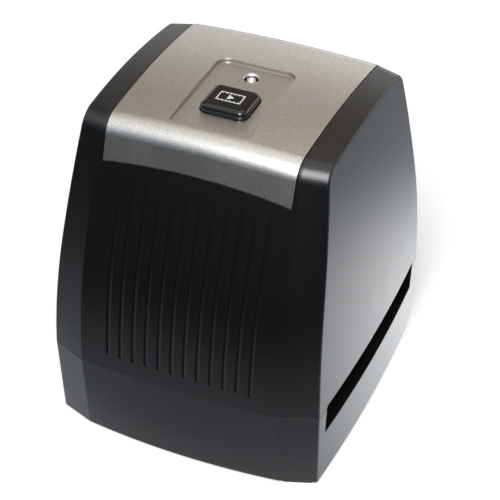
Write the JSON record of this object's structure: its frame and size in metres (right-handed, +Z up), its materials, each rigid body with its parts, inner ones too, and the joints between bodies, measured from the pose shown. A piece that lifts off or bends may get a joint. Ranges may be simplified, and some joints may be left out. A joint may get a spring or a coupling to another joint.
{
  "type": "film negative scanner",
  "caption": "Desk film scanner: tapered black body with a film slot through its base, grey metallic top panel and one push button",
  "frame": {"origin": "on the surface it stands on, under the middle of the body", "axes": "+Z up, +Y to the back with the computer socket, X along the film slot"},
  "size_m": [0.087, 0.0952, 0.1054],
  "materials": {
    "black_shell": "satin, fine texture",
    "foot_rubber": "matt",
    "screw_steel": "zinc plated",
    "panel_paint": "fine metallic paint",
    "button_black": "polished",
    "switch_plastic": "moulded",
    "plunger_plastic": "moulded",
    "circuit_board": "solder mask",
    "clear_lens": "clear moulded resin",
    "inner_black": "matt, light absorbing",
    "spring_steel": "drawn wire",
    "white_plastic": "matt white",
    "diffuser_plastic": "opal",
    "led_yellow": "encapsulated",
    "lens_glass": "coated",
    "chip_black": "moulded",
    "can_metal": "plated",
    "plug_white": "moulded",
    "ribbon_white": "laminated film"
  },
  "bodies": {
    "housing": {"upper_shell": "black_shell", "base_housing": "black_shell", "rubber_feet": "foot_rubber", "housing_screws": "screw_steel", "top_panel": "panel_paint", "switch_body": "switch_plastic", "button_board": "circuit_board", "button_board_screws": "screw_steel", "status_led": "clear_lens", "film_tray": "inner_black", "film_cover": "inner_black", "gate_screws": "screw_steel", "stop_spring": "spring_steel", "light_box": "white_plastic", "diffuser": "diffuser_plastic", "backlight_board": "circuit_board", "backlight_leds": "led_yellow", "optical_tower": "inner_black", "tower_screws": "screw_steel", "lens_holder": "inner_black", "lens_barrel": "inner_black", "front_lens": "lens_glass", "rear_lens": "lens_glass", "infrared_filter": "lens_glass", "image_sensor": "chip_black", "sensor_board": "circuit_board", "sensor_screws": "screw_steel", "main_board": "circuit_board", "main_board_screws": "screw_steel", "image_processor": "chip_black", "memory_chip": "chip_black", "crystal": "can_metal", "capacitors": "can_metal", "computer_socket": "can_metal", "cable_plugs": "plug_white", "sensor_cable": "ribbon_white", "button_cable": "ribbon_white", "light_cable": "ribbon_white"},
    "button_cap": {"scan_button": "button_black"},
    "switch_pin": {"switch_plunger": "plunger_plastic"},
    "stop_pin": {"stop_plunger": "plunger_plastic"}
  },
  "joints": [
    {"name": "button_press", "type": "slide", "parent": "housing", "child": "button_cap", "axis": [0, 0, -1], "range_m": [0, 0.0008], "stiffness_N_per_m": 2000},
    {"name": "switch_press", "type": "slide", "parent": "housing", "child": "switch_pin", "axis": [0, 0, -1], "range_m": [0, 0.0008], "stiffness_N_per_m": 100},
    {"name": "stop_press", "type": "slide", "parent": "housing", "child": "stop_pin", "axis": [0, 0, -1], "range_m": [0, 0.0009], "stiffness_N_per_m": 900, "deforming": ["stop_spring"]}
  ],
  "couplings": [
    {"joint": "switch_press", "follows": "button_press", "ratio": 1}
  ]
}
